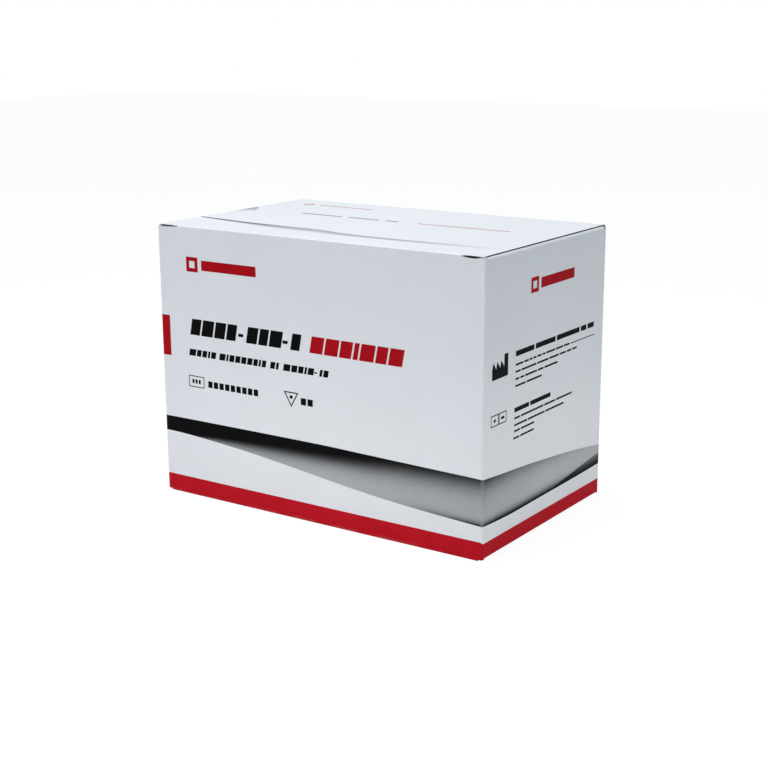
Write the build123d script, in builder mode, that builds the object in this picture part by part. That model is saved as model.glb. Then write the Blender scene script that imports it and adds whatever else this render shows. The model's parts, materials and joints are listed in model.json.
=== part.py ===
"""Printed folding carton with a hinged tuck lid, shut and empty.

The body is one sheet of board, folded and glued, and the lid is the panel hinged along its rear edge.
X runs along the front from left to right, Y from the front to the rear and Z up.
The origin is the centre of the footprint, on the floor. Sizes are in millimetres and degrees.
"""

import math
import os

from build123d import *

# The carton as a whole
width = 195.0  # along the front
depth = 120.0
height = 143.0  # from the floor to the top of the shut lid

# The board
board = 0.5  # thickness
inner_fold = 0.4  # radius inside a fold
relief = 0.5  # cut beside the end of a fold, so that the board doesn't tear

# The seam, where the left panel's flap is glued inside the rear panel
glue_flap = 15.0
glue_taper = 4.0

# The lid
hinge_gap = 0.05  # from the rear panel's top edge to the lid's rounded edge
lid_gap = 0.5  # air between the lid and what it shuts on
lid_side_inset = 0.3  # from a side panel's face to the lid's raw edge
lid_front_inset = 0.1
lid_corner = 1.5
slit = 12.5  # at each end of the front fold, where the lid's corner stays flat
corner_dip = 0.4  # how far the front panel's raw edge falls away under those corners

# The tuck flap on the lid's front fold
tuck_depth = 22.0
tuck_corner = 11.0
tuck_clearance = 0.1  # from the front panel's inner face to the fold, with the lid shut
tuck_side_clearance = 1.0
swing_clearance = 0.15  # left between the flap and the front panel as the lid swings
ear_drop = 0.7  # from the end of the fold down to the raw edge beside each slit
ear_corner = 3.0

# The dust flaps, folded in from the tops of the side panels
dust_reach = 55.0
dust_front_inset = 2.5
dust_rear_inset = 2.0
dust_taper = 9.0
dust_corner = 8.0

# The bottom: two minor flaps from the sides, and two major flaps that interlock under them
bottom_inset = 2.5  # from a corner to the end of each bottom fold
minor_reach = 50.0
minor_taper = 10.0
minor_corner = 6.0
major_slant = 12.0
meet_gap = 0.3  # between the centre line and the edge of each major flap
tongue_reach = 20.0
tongue_width = 44.0
tongue_inset = 4.0  # from the middle of the box to the tongue
tongue_ramp = 3.0  # length over which the tongue rises onto the other flap
tongue_corner = 6.0
tab_width = 20.0  # of the tab folded back along the diagonal, which holds the minor flap
tab_setback = 4.0  # from the end of the other flap's tongue to the tab
tab_inset = 2.0

# Worked out from the sizes above
outer_fold = inner_fold + board
mid_fold = inner_fold + board / 2
wall_x = width / 2 - board / 2
wall_y = depth / 2 - board / 2
fold_x = width / 2 - outer_fold
fold_y = depth / 2 - outer_fold

lid_underside = height - board
rim = lid_underside - lid_gap
hinge_y = wall_y
hinge_z = height - board / 2

seam_y = wall_y - board
seam_x = -width / 2 + glue_flap

dust_front = -depth / 2 + dust_front_inset
dust_rear = depth / 2 - dust_rear_inset
dust_tip = width / 2 - dust_reach

minor_floor = 2 * board
minor_half = depth / 2 - bottom_inset
minor_tip = width / 2 - minor_reach

major_half = width / 2 - bottom_inset
diagonal_tip = major_half - fold_y + meet_gap
tongue_far = tongue_inset + tongue_width

lid_half = width / 2 - lid_side_inset
lid_front = -depth / 2 + lid_front_inset
slit_x = width / 2 - slit

tuck_half = width / 2 - board - tuck_side_clearance
tuck_fold_y = -depth / 2 + board + tuck_clearance + outer_fold
tuck_fold_z = height - outer_fold
tuck_reach = hinge_y + depth / 2 - board
tuck_swing = tuck_reach - math.sqrt(tuck_reach**2 - tuck_depth**2)
tuck_lean = math.degrees(math.atan((tuck_swing + swing_clearance) / tuck_depth))


def fold_section(plane, centre, start, turn):
    """Section of a fold: a strip of board bent through a turn round its centre."""
    with BuildSketch(plane) as section:
        with BuildLine():
            CenterArc(centre, mid_fold, start, turn)
        trace(line_width=board)
    return section.sketch


# One dust flap, on the right

with BuildPart() as dust_flap:
    extrude(
        fold_section(Plane.XZ.offset(-dust_rear), (fold_x, rim - outer_fold), 0, 90),
        amount=dust_rear - dust_front,
    )
    with BuildSketch(Plane.XY.offset(rim - board)):
        with BuildLine():
            Polyline(
                (fold_x, dust_rear),
                (dust_tip, dust_rear - dust_taper),
                (dust_tip, dust_front + dust_taper),
                (slit_x, dust_front),
                (fold_x, dust_front),
                close=True,
            )
        make_face()
        fillet(vertices().group_by(Axis.X)[0], radius=dust_corner)
    extrude(amount=board)


# One minor bottom flap, on the right

with BuildPart() as minor_flap:
    extrude(
        fold_section(Plane.XZ, (fold_x, minor_floor + outer_fold), 270, 90),
        amount=minor_half,
        both=True,
    )
    with BuildSketch(Plane.XY.offset(minor_floor)):
        with BuildLine():
            Polyline(
                (fold_x, minor_half),
                (minor_tip, minor_half - minor_taper),
                (minor_tip, minor_taper - minor_half),
                (fold_x, -minor_half),
                close=True,
            )
        make_face()
        fillet(vertices().group_by(Axis.X)[0], radius=minor_corner)
    extrude(amount=board)


# One major bottom flap, from the front panel

with BuildPart() as major_flap:
    extrude(fold_section(Plane.YZ, (-fold_y, outer_fold), 180, 90), amount=major_half, both=True)

    # The flap lies on the floor: a slanted end on the left, the diagonal crease on the right
    with BuildSketch():
        with BuildLine():
            Polyline(
                (-major_half, -fold_y),
                (-major_half + major_slant, -meet_gap),
                (-tongue_far, -meet_gap),
                (-tongue_far, -meet_gap - tongue_ramp),
                (-tongue_inset, -meet_gap - tongue_ramp),
                (-tongue_inset, -meet_gap),
                (diagonal_tip, -meet_gap),
                (major_half, -fold_y),
                close=True,
            )
        make_face()
    extrude(amount=board)

    # The tongue rises over the edge of the opposite flap and lies on it
    with BuildSketch(Plane.YZ.offset(-tongue_far)):
        with BuildLine():
            Polyline(
                (-meet_gap - 2 * tongue_ramp, board / 2),
                (-meet_gap - tongue_ramp, board / 2),
                (-meet_gap, 3 * board / 2),
                (tongue_reach, 3 * board / 2),
            )
        trace(line_width=board)
    extrude(amount=tongue_width)
    fillet(edges().filter_by(Axis.Z).group_by(Axis.Y)[-1], radius=tongue_corner)

    # The tab beyond the diagonal crease is folded back on the flap
    tab_end = tongue_reach + tab_setback
    tab_root = fold_y - tab_inset
    tab_shift = tab_width / math.sqrt(2)
    crease_end = major_half - fold_y + tab_end
    with BuildSketch(Plane.XY.offset(board)):
        with BuildLine():
            Polyline(
                (major_half - tab_inset, -tab_root),
                (crease_end, -tab_end),
                (crease_end - tab_shift, -tab_end - tab_shift),
                (crease_end - 2 * tab_shift - tab_end + tab_root, -tab_root),
                close=True,
            )
        make_face()
    extrude(amount=board)


# The body: walls, seam and flaps are one glued sheet

with BuildPart() as carton_body:
    # One strip round the corners, from the rear panel's raw end to the glue flap inside it
    with BuildSketch(Plane.XY.offset(outer_fold)):
        with BuildLine():
            FilletPolyline(
                (-fold_x, wall_y),
                (wall_x, wall_y),
                (wall_x, -wall_y),
                (-wall_x, -wall_y),
                (-wall_x, 0),
                radius=mid_fold,
            )
        trace(line_width=board)
        with BuildLine():
            FilletPolyline((-wall_x, 0), (-wall_x, seam_y), (seam_x, seam_y), radius=mid_fold)
        trace(line_width=board)
    extrude(amount=rim - outer_fold)

    # The rear panel reaches up to the lid's hinge
    with BuildSketch(Plane.XY.offset(rim)):
        with Locations((0, wall_y)):
            Rectangle(2 * fold_x, board)
    extrude(amount=hinge_z - board / 2 - hinge_gap - rim)

    # The glue flap is tapered at both ends
    with BuildSketch(Plane.XZ.offset(board - depth / 2)):
        for end, taper in ((rim, -glue_taper), (outer_fold, glue_taper)):
            with BuildLine():
                Polyline((seam_x, end), (seam_x, end + taper), (-fold_x, end), close=True)
            make_face()
    extrude(amount=board, mode=Mode.SUBTRACT)

    # The front panel's raw edge falls away towards both corners
    with BuildSketch(Plane.XZ.offset(depth / 2)):
        for side in (-1, 1):
            with BuildLine():
                Polyline(
                    (side * slit_x, rim),
                    (side * width / 2, rim - corner_dip),
                    (side * width / 2, rim),
                    close=True,
                )
            make_face()
    extrude(amount=-outer_fold, mode=Mode.SUBTRACT)

    # The side panels end where their flaps fold
    dust_middle = (dust_front + dust_rear) / 2
    with Locations((wall_x, dust_middle, rim), (-wall_x, dust_middle, rim)):
        Box(2 * board, dust_rear - dust_front + 2 * relief, 2 * outer_fold, mode=Mode.SUBTRACT)
    with Locations((wall_x, 0, 0), (-wall_x, 0, 0)):
        Box(2 * board, 2 * (minor_half + relief), 2 * (minor_floor + outer_fold), mode=Mode.SUBTRACT)

    add(dust_flap.part)
    mirror(dust_flap.part, about=Plane.YZ)
    add(minor_flap.part)
    mirror(minor_flap.part, about=Plane.YZ)
    add(major_flap.part)
    add(major_flap.part, rotation=(0, 0, 180))


# The lid

with BuildPart() as lid:
    # Flat panel, whose two front corners run on past the fold
    with BuildSketch(Plane.XY.offset(lid_underside)):
        with BuildLine():
            Polyline(
                (-lid_half, hinge_y),
                (lid_half, hinge_y),
                (lid_half, lid_front),
                (slit_x, lid_front),
                (slit_x, tuck_fold_y),
                (-slit_x, tuck_fold_y),
                (-slit_x, lid_front),
                (-lid_half, lid_front),
                close=True,
            )
        make_face()
        front_corners = vertices().group_by(Axis.Y)[0].sort_by(Axis.X)
        fillet([front_corners[0], front_corners[-1]], radius=lid_corner)
    extrude(amount=board)

    # The rear edge is round, on the hinge line
    with BuildSketch(Plane.YZ):
        with Locations((hinge_y, hinge_z)):
            Circle(board / 2)
    extrude(amount=lid_half, both=True)

    # The front fold turns a little past square, so that the tuck flap leans inwards
    extrude(
        fold_section(Plane.YZ, (tuck_fold_y, tuck_fold_z), 90, 90 + tuck_lean),
        amount=slit_x,
        both=True,
    )

    # The tuck flap, with an ear beyond each slit
    lean = math.radians(tuck_lean)
    tuck_plane = Plane(
        origin=(0, tuck_fold_y - mid_fold * math.cos(lean), tuck_fold_z - mid_fold * math.sin(lean)),
        x_dir=(1, 0, 0),
        z_dir=(0, -math.cos(lean), -math.sin(lean)),
    )
    with BuildSketch(tuck_plane):
        with BuildLine():
            Polyline(
                (-slit_x, 0),
                (slit_x, 0),
                (slit_x, -ear_drop),
                (tuck_half, -ear_drop),
                (tuck_half, -tuck_depth),
                (-tuck_half, -tuck_depth),
                (-tuck_half, -ear_drop),
                (-slit_x, -ear_drop),
                close=True,
            )
        make_face()
        ear_edge = vertices().group_by(Axis.Y)[1].sort_by(Axis.X)
        fillet([ear_edge[0], ear_edge[-1]], radius=ear_corner)
        fillet(vertices().group_by(Axis.Y)[0], radius=tuck_corner)
    extrude(amount=board / 2, both=True)


os.makedirs("parts", exist_ok=True)
carton_body.part.label = "carton_body"
export_step(carton_body.part, "parts/carton_body.step")
lid.part.label = "lid"
export_step(lid.part, "parts/lid.step")
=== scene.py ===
"""Looks of a printed folding carton: its board, its print and a plain studio, as a Blender add-on.

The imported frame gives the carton's box and the hinge of its lid. Lengths are in metres, and MM turns a value
in millimetres into metres. The print is laid out panel by panel, from a panel's left edge and down from its
top.
"""

import json
import math
from functools import cached_property

import bpy
import numpy as np
from bpy.props import FloatProperty, FloatVectorProperty, PointerProperty
from mathutils import Matrix, Vector


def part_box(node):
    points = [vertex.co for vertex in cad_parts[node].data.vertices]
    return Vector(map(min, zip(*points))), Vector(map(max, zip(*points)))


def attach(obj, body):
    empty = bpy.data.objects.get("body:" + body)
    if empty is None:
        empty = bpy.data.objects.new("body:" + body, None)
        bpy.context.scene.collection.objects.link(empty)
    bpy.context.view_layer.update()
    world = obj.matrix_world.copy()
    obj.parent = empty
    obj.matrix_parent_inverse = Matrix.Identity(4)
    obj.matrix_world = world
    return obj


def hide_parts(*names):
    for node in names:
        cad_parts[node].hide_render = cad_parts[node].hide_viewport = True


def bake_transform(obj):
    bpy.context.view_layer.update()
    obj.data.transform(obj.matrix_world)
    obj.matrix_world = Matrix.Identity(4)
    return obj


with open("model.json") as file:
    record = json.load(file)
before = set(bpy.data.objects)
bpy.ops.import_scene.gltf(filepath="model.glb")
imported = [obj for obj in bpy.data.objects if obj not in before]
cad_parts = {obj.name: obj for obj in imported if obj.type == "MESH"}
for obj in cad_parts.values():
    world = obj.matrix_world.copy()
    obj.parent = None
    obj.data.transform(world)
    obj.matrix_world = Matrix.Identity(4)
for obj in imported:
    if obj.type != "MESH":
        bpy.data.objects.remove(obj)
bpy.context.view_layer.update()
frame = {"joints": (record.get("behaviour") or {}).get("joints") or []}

bl_info = {
    "name": "Printed carton",
    "version": (1, 0, 0),
    "blender": (4, 5, 0),
    "location": "View3D > Sidebar > Carton",
    "description": "Builds the folded board, the print and the studio of a tuck-lid carton",
    "category": "Object",
}

MM = 0.001
BESIDE_FOLD = 0.3 * MM  # from a fold's round to the row of points that keeps the board beside it flat
WELD = 0.01 * MM  # points nearer than this become one
ROUNDING = 1e-7  # metres by which a value that should lie on a limit may miss it

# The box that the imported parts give
body_low, body_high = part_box("carton_body")
lid_low, lid_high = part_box("lid")
WIDTH = round(body_high.x - body_low.x, 5)
DEPTH = round(body_high.y - body_low.y, 5)
HEIGHT = round(lid_high.z - body_low.z, 5)
HINGE = frame["joints"][0]


def length(name, description, default):
    """A length property, its default given in millimetres."""
    return FloatProperty(name=name, description=description, default=default * MM, unit="LENGTH", precision=5)


def share(name, description, default):
    """A property between nothing and all."""
    return FloatProperty(name=name, description=description, default=default, min=0, max=1, subtype="FACTOR")


def power(name, description, default):
    """A lamp's power property, in watts."""
    return FloatProperty(name=name, description=description, default=default, min=0, unit="POWER", precision=3)


def degrees(name, description, default):
    """An angle property, its default given in degrees."""
    return FloatProperty(name=name, description=description, default=math.radians(default), subtype="ANGLE")


def tint(name, description, default):
    """A colour property in linear light."""
    return FloatVectorProperty(
        name=name, description=description, default=default, size=3, subtype="COLOR", min=0, max=1
    )


class CartonSizes(bpy.types.PropertyGroup):
    """Sizes of the folded board that its box alone doesn't give."""

    board: length("Board", "Thickness of the board", 0.5)
    film: length("Print", "How far the print stands on the board", 0.03)
    cell: length("Cell", "Longest side of the mesh's cells", 6.0)
    fold: length("Fold", "Outside radius of a fold", 0.9)
    dust_fold: length("Dust flap fold", "Outside radius of a dust flap's fold", 1.4)
    bow: length("Bow", "How far the middle of a wall gives inwards", 0.35)
    sag: length("Sag", "How far the middle of the lid sinks", 0.25)
    droop: length("Droop", "How far a dust flap's tip hangs below its fold", 1.2)
    spring: length("Spring", "How far a dust flap springs up beside its fold", 0.2)
    relief: length("Relief", "Cut beside the end of a flap's fold", 0.5)
    glue_flap: length("Glue flap", "Reach of the flap glued inside the rear panel", 15.0)
    glue_taper: length("Glue flap taper", "Slant at both ends of the glue flap", 4.0)
    hinge_gap: length("Hinge gap", "From the rear panel's top edge to the lid's board", 0.05)
    lid_gap: length("Lid gap", "Air between the lid and the raw edges under it", 0.3)
    lid_inset: length("Lid inset", "From a side panel's face to the lid's raw edge", 1.2)
    lid_front: length("Lid front", "From the front panel's face to the lid's corners", 0.1)
    lid_corner: length("Lid corners", "Radius of the lid's front corners", 1.4)
    slit: length("Slit", "Length of the slit at each end of the front fold", 12.5)
    dip: length("Dip", "How far the front panel's raw edge falls away under the slits", 0.4)
    knuckle: length("Knuckle", "How far the front right corner stands above the raw edges beside it", 0.45)
    tuck_depth: length("Tuck flap", "Depth of the tuck flap below its fold", 22.0)
    tuck_corner: length("Tuck corners", "Radius of the tuck flap's corners", 10.9)
    tuck_side: length("Tuck sides", "From a side panel's face to the tuck flap", 1.5)
    tuck_gap: length("Tuck gap", "From the front panel's inner face to the tuck flap's fold", 0.1)
    swing_gap: length("Swing gap", "Left between the tuck flap and the front panel as the lid swings", 0.15)
    ear_drop: length("Ears", "From the fold's end down to the tuck flap's ears", 0.7)
    ear_corner: length("Ear corners", "Radius of the ears' upper corners", 3.0)
    dust_reach: length("Dust flaps", "Reach of the dust flaps", 55.0)
    dust_front: length("Dust flap front", "From the front panel's face to a dust flap", 2.5)
    dust_rear: length("Dust flap rear", "From the rear panel's face to a dust flap", 2.0)
    dust_taper: length("Dust flap taper", "How much a dust flap narrows at each side", 9.0)
    dust_corner: length("Dust flap corners", "Radius of a dust flap's corners", 8.0)
    foot: length("Foot", "From a corner to the end of each bottom fold", 2.5)
    minor_reach: length("Minor flaps", "Reach of the bottom's minor flaps", 50.0)
    minor_taper: length("Minor flap taper", "How much a minor flap narrows at each side", 10.0)
    minor_corner: length("Minor flap corners", "Radius of a minor flap's corners", 6.0)
    major_slant: length("Major flap slant", "Slant at the plain end of a major flap", 12.0)
    meet_gap: length("Meeting gap", "From the centre line to a major flap's edge", 0.3)
    tongue_reach: length("Tongue", "Reach of a major flap's tongue past the centre line", 20.0)
    tongue_near: length("Tongue's near side", "From the middle of the box to the tongue", 4.0)
    tongue_far: length("Tongue's far side", "From the middle of the box to the tongue's far side", 48.0)
    tongue_ramp: length("Tongue's ramp", "Length over which the tongue rises", 3.0)
    tongue_corner: length("Tongue corners", "Radius of the tongue's corners", 6.0)
    tab_width: length("Tab", "Width of the tab folded back along a major flap's diagonal", 20.0)
    tab_setback: length("Tab setback", "From the end of the other flap's tongue to the tab", 4.0)
    tab_inset: length("Tab inset", "From the bottom's folds to the tab", 2.0)
    crease: length("Crease", "Outside radius of the lid's crease along the rear", 0.6)
    crease_reach: length("Crease reach", "How far the crease's strip reaches from the edge", 1.9)
    crease_board: length("Crease board", "Thickness of the board in the crease", 0.3)


class CartonInks(bpy.types.PropertyGroup):
    """Colours of the board and its inks, and the painted shadow on the lid's raw edge."""

    coat: tint("Coated board", "White of the clay-coated outside", (0.845, 0.860, 0.885))
    inside: tint("Uncoated board", "Grey white of the inside", (0.66, 0.64, 0.59))
    pulp: tint("Raw edge", "Pale pulp at the cut edges", (0.62, 0.61, 0.58))
    # Painted shadow: this near black stands in for the shade in the gap under the lid's raw edge and inside the
    # slits.
    lid_edge_painted_shadow: tint("Lid's raw edge", "Nearly black edge of the lid's panel", (0.010, 0.010, 0.011))
    red: tint("Red", "The red ink", (0.52, 0.007, 0.017))
    black: tint("Black", "The black ink", (0.002, 0.002, 0.0022))
    deep_red: tint("Deep red", "The red ink of the tab and the marks", (0.43, 0.003, 0.008))


class StudioSettings(bpy.types.PropertyGroup):
    """The light and the view."""

    world: FloatProperty(name="World", description="Strength of the even light all round", default=0.43, min=0)
    top_lamp: power("Top lamp", "Power of the wide lamp above", 6.1)
    front_lamp: power("Front lamp", "Power of the lamp at the front", 1.35)
    kick: power("Kick lamps", "Power of each low lamp beside the carton", 0.034)
    floor_white: share("Floor white", "How much of the floor's white is plain to the camera", 0.88)
    lens: FloatProperty(name="Lens", description="Focal length on a 36 mm sensor", default=67.97, min=1)
    turn: degrees("Turn", "Camera's turn round the carton", 34.46)
    rise: degrees("Rise", "Camera's height as an angle", 14.38)
    roll: degrees("Roll", "Camera's roll", -0.27)
    distance: length("Distance", "From the camera to the carton's middle", 755.8)
    aside: length("Aside", "How far the camera stands to its right", 1.49)
    below: length("Below", "How far the camera stands down", 12.17)


def sizes():
    """The carton's sizes as the scene has them."""
    return bpy.context.scene.carton_sizes


def inks():
    """The carton's colours as the scene has them."""
    return bpy.context.scene.carton_inks


def spaced(stops, cell):
    """Values from the lowest stop to the highest that hold every stop, with even steps of a cell at most."""
    stops = np.unique(np.round(np.asarray(stops, float), 9))
    counts = np.maximum(1, np.ceil(np.diff(stops) / cell - 1e-6)).astype(int)
    runs = [np.linspace(a, b, n, endpoint=False) for a, b, n in zip(stops[:-1], stops[1:], counts)]
    return np.concatenate(runs + [stops[-1:]])


class Folded:
    """A folded profile carried sideways, as board is that has been bent along straight creases.

    The profile runs straight from corner to corner and turns left at each through an arc of the given radius.
    Its outside is on its right. A place on it is a distance along the sharp-cornered line: within one tangent
    length of a corner the point is the arc's centre plus the radius times the normal, turned in proportion.
    """

    def __init__(self, corners, radius, axes, signs=(1, 1, 1)):
        self.corners = np.asarray(corners, float)
        self.radius, self.axes, self.signs = radius, list(axes), np.asarray(signs, float)
        runs = np.diff(self.corners, axis=0)
        lengths = np.hypot(runs[:, 0], runs[:, 1])
        self.along = runs / lengths[:, None]
        self.outward = np.stack([self.along[:, 1], -self.along[:, 0]], axis=1)
        self.starts = np.concatenate([[0.0], np.cumsum(lengths)])
        a, b = self.along[:-1], self.along[1:]
        self.turns = np.arctan2(a[:, 0] * b[:, 1] - a[:, 1] * b[:, 0], (a * b).sum(1))
        self.reaches = radius * np.tan(self.turns / 2)

    def bends(self, steps=10):
        """Distances that a mesh needs so that each fold is round and what is beside it stays flat."""
        turned = np.linspace(-1, 1, steps + 1)
        stops = [
            [centre - reach - BESIDE_FOLD, centre + reach + BESIDE_FOLD, *(centre + reach * turned)]
            for centre, reach in zip(self.starts[1:-1], self.reaches)
        ]
        return np.concatenate(stops)

    def at(self, distance, across):
        """Points and outward normals at distances along the profile and places across it, as arrays."""
        distance, across = np.broadcast_arrays(np.asarray(distance, float), np.asarray(across, float))
        flat = distance.ravel()
        run = np.clip(np.searchsorted(self.starts, flat, side="right") - 1, 0, len(self.along) - 1)
        point = self.corners[run] + self.along[run] * (flat - self.starts[run])[:, None]
        normal = self.outward[run].copy()
        for i, (turn, reach) in enumerate(zip(self.turns, self.reaches)):
            near = np.abs(flat - self.starts[i + 1]) < reach
            angle = (flat[near] - self.starts[i + 1] + reach) / (2 * reach) * turn
            first, cos, sin = self.outward[i], np.cos(angle), np.sin(angle)
            swung = np.stack([first[0] * cos - first[1] * sin, first[0] * sin + first[1] * cos], axis=1)
            centre = self.corners[i + 1] - reach * self.along[i] - self.radius * first
            point[near] = centre + self.radius * swung
            normal[near] = swung
        points = np.zeros(distance.shape + (3,))
        normals = np.zeros(distance.shape + (3,))
        for column, axis in enumerate(self.axes[:2]):
            points[..., axis] = point[:, column].reshape(distance.shape)
            normals[..., axis] = normal[:, column].reshape(distance.shape)
        points[..., self.axes[2]] = across
        return points * self.signs, normals * self.signs


def settled(points, normals):
    """Points of a taut carton moved to where slack board lies.

    A wall gives inwards by the bow times half a wave over its width and half a wave over its height. The lid
    sinks by the sag times half a wave over its width and its depth. A dust flap hangs by the droop times the
    square of the share of its reach, and springs up in a low hump beside its fold.
    """
    s = sizes()
    hump_risen, hump_falls, hump_ends = 1.5 * MM, 3 * MM, 25 * MM
    above_flaps = HEIGHT - s.board - s.lid_gap + 0.05 * MM
    x, y, z = np.moveaxis(points, -1, 0)
    over_x, over_y = np.cos(np.pi * x / WIDTH), np.cos(np.pi * y / DEPTH)
    up = np.sin(np.pi * np.clip(z / HEIGHT, 0, 1))
    upward = np.clip(normals[..., 2], 0, 1)
    inwards = WIDTH / 2 - np.abs(x)
    hang = s.droop * np.clip(inwards / s.dust_reach, 0, 1) ** 2
    hump = s.spring * eased(inwards, 0, hump_risen) * (1 - eased(inwards, hump_falls, hump_ends))
    lid_sag = s.sag * over_x * over_y
    moved = points.copy()
    moved[..., 0] -= s.bow * normals[..., 0] * over_y * up
    moved[..., 1] -= s.bow * normals[..., 1] * over_x * up
    moved[..., 2] -= upward * np.where(z > above_flaps, lid_sag, hang - hump)
    return moved


class Sheet:
    """A closed sheet put together from patches that share their edges.

    A patch is a grid of outside points with outward normals. Points that fall together become one. The outer
    skin is sunk by the inset, the inner skin is the outside moved against its normals by the depth, and a strip
    joins the two along every open edge, where the shading breaks.
    """

    def __init__(self, depth, inset=0.0):
        self.depth, self.inset = depth, inset
        self.points, self.normals, self.faces, self.extras = [], [], [], []
        self.count = 0

    def patch(self, points, normals, extra=None):
        """Adds a grid, with an optional value at each of its points."""
        rows, columns = points.shape[:2]
        index = self.count + np.arange(rows * columns).reshape(rows, columns)
        quads = np.stack([index[:-1, :-1], index[1:, :-1], index[1:, 1:], index[:-1, 1:]], axis=-1)
        first = points[1:, 1:] - points[:-1, :-1]
        second = points[:-1, 1:] - points[1:, :-1]
        facing = (np.cross(first, second) * (normals[:-1, :-1] + normals[1:, 1:])).sum(-1)
        quads = np.where((facing < 0)[..., None], quads[..., ::-1], quads)
        self.points.append(points.reshape(-1, 3))
        self.normals.append(normals.reshape(-1, 3))
        self.faces.append(quads.reshape(-1, 4))
        self.extras.append(np.zeros(rows * columns) if extra is None else np.asarray(extra, float).ravel())
        self.count += rows * columns

    def build(self, name, finishes, extra_name=None):
        """Makes the object. The finishes are one material, or those of the outer skin, inner skin and edges.

        Points are matched by whole steps of the weld, with an odd share added, so that none is on a border.
        """
        off_border = 0.371
        points, normals = np.concatenate(self.points), np.concatenate(self.normals)
        faces, extras = np.concatenate(self.faces), np.concatenate(self.extras)
        keys = np.floor(points / WELD + off_border).astype(np.int64)
        _, kept, inverse = np.unique(keys, axis=0, return_index=True, return_inverse=True)
        points, normals, extras = points[kept], normals[kept], extras[kept]
        faces = inverse.reshape(-1)[faces]
        points = settled(points, normals)
        edges = np.stack([faces, np.roll(faces, -1, axis=1)], axis=-1).reshape(-1, 2)
        ordered = np.sort(edges, axis=1)
        _, back, times = np.unique(ordered, axis=0, return_inverse=True, return_counts=True)
        open_edges = edges[times[back.reshape(-1)] == 1]
        total = len(points)
        a, b = open_edges[:, 0], open_edges[:, 1]
        rims = np.stack([b, a, a + total, b + total], axis=1)
        vertices = np.concatenate([points - self.inset * normals, points - self.depth * normals])
        quads = np.concatenate([faces, faces[:, ::-1] + total, rims])
        mesh = bpy.data.meshes.new(name)
        mesh.vertices.add(len(vertices))
        mesh.vertices.foreach_set("co", vertices.ravel())
        mesh.loops.add(quads.size)
        mesh.loops.foreach_set("vertex_index", quads.ravel().astype(np.int32))
        mesh.polygons.add(len(quads))
        mesh.polygons.foreach_set("loop_start", np.arange(0, quads.size, 4, dtype=np.int32))
        mesh.polygons.foreach_set("loop_total", np.full(len(quads), 4, np.int32))
        groups = np.repeat([0, 1, 2], [len(faces), len(faces), len(rims)])
        if len(finishes) == 1:
            groups[:] = 0
        mesh.polygons.foreach_set("material_index", groups.astype(np.int32))
        mesh.update(calc_edges=True)
        made = np.zeros(2 * len(mesh.edges), np.int32)
        mesh.edges.foreach_get("vertices", made)
        made = np.sort(made.reshape(-1, 2).astype(np.int64), axis=1) @ (2 * total, 1)
        folds = np.sort(np.concatenate([open_edges, open_edges + total]), axis=1) @ (2 * total, 1)
        sharp = mesh.attributes.new("sharp_edge", "BOOLEAN", "EDGE")
        sharp.data.foreach_set("value", np.isin(made, folds))
        if extra_name:
            extra = mesh.attributes.new(extra_name, "FLOAT", "POINT")
            extra.data.foreach_set("value", np.tile(extras, 2).astype(np.float32))
        if mesh.validate():
            raise RuntimeError(f"{name} has faces that can't be used")
        mesh.polygons.foreach_set("use_smooth", np.arange(len(quads)) < 2 * len(faces))
        for finish in finishes:
            mesh.materials.append(finish)
        piece = bpy.data.objects.new(name, mesh)
        bpy.context.scene.collection.objects.link(piece)
        return piece


# The surfaces that the board and its print lie on


def wall_surface():
    """The walls as one strip: glue flap, left, front, right and rear, counted from the glue flap's edge."""
    s = sizes()
    half, rear, seam = WIDTH / 2, DEPTH / 2, DEPTH / 2 - s.board
    corners = [
        (-half + s.glue_flap, seam),
        (-half, seam),
        (-half, -rear),
        (half, -rear),
        (half, rear),
        (-half + s.fold, rear),
    ]
    return Folded(corners, s.fold, (0, 1, 2))


def lid_surface():
    """The lid from its hinge forwards, over the front fold and down the tuck flap, which leans inwards.

    The lean is the angle whose tangent is the swing of the flap's end, plus a gap, over the flap's depth: the
    end swings by the reach from the hinge less the root of that reach squared less the depth squared.
    """
    s = sizes()
    reach = HINGE["pos_m"][1] + DEPTH / 2 - s.board
    swing = reach - math.sqrt(reach**2 - s.tuck_depth**2)
    lean = math.atan((swing + s.swing_gap) / s.tuck_depth)
    tangent = s.fold * math.tan(math.pi / 4 + lean / 2)
    front = -DEPTH / 2 + s.board + s.tuck_gap + s.fold - tangent
    down = tangent + s.tuck_depth
    corners = [
        (DEPTH / 2 - s.crease, HEIGHT),
        (front, HEIGHT),
        (front + down * math.sin(lean), HEIGHT - down * math.cos(lean)),
    ]
    return Folded(corners, s.fold, (1, 2, 0))


def rounded(place, end, radius):
    """How far an edge draws back at places along it so that a corner of that radius ends it.

    It is the radius less the root of the radius squared less the square of the distance past the arc's start.
    """
    past = np.clip(place - (end - radius), 0, radius)
    return radius - np.sqrt(np.maximum(radius**2 - past**2, 0))


def arc_stops(end, radius, steps=8):
    """Places along an edge that make its rounded corner even: the radius times the sine of even angles."""
    return end - radius + radius * np.sin(np.linspace(0, np.pi / 2, steps + 1))


def between(values, low, high):
    """The values from low to high."""
    return values[(values > low - ROUNDING) & (values < high + ROUNDING)]


def widened(root, low, high):
    """Rows whose ends run from low to high, dividing each row as the root is divided."""
    part = (root - root[0]) / (root[-1] - root[0])
    return low[:, None] + part[None, :] * (high - low)[:, None]


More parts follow.
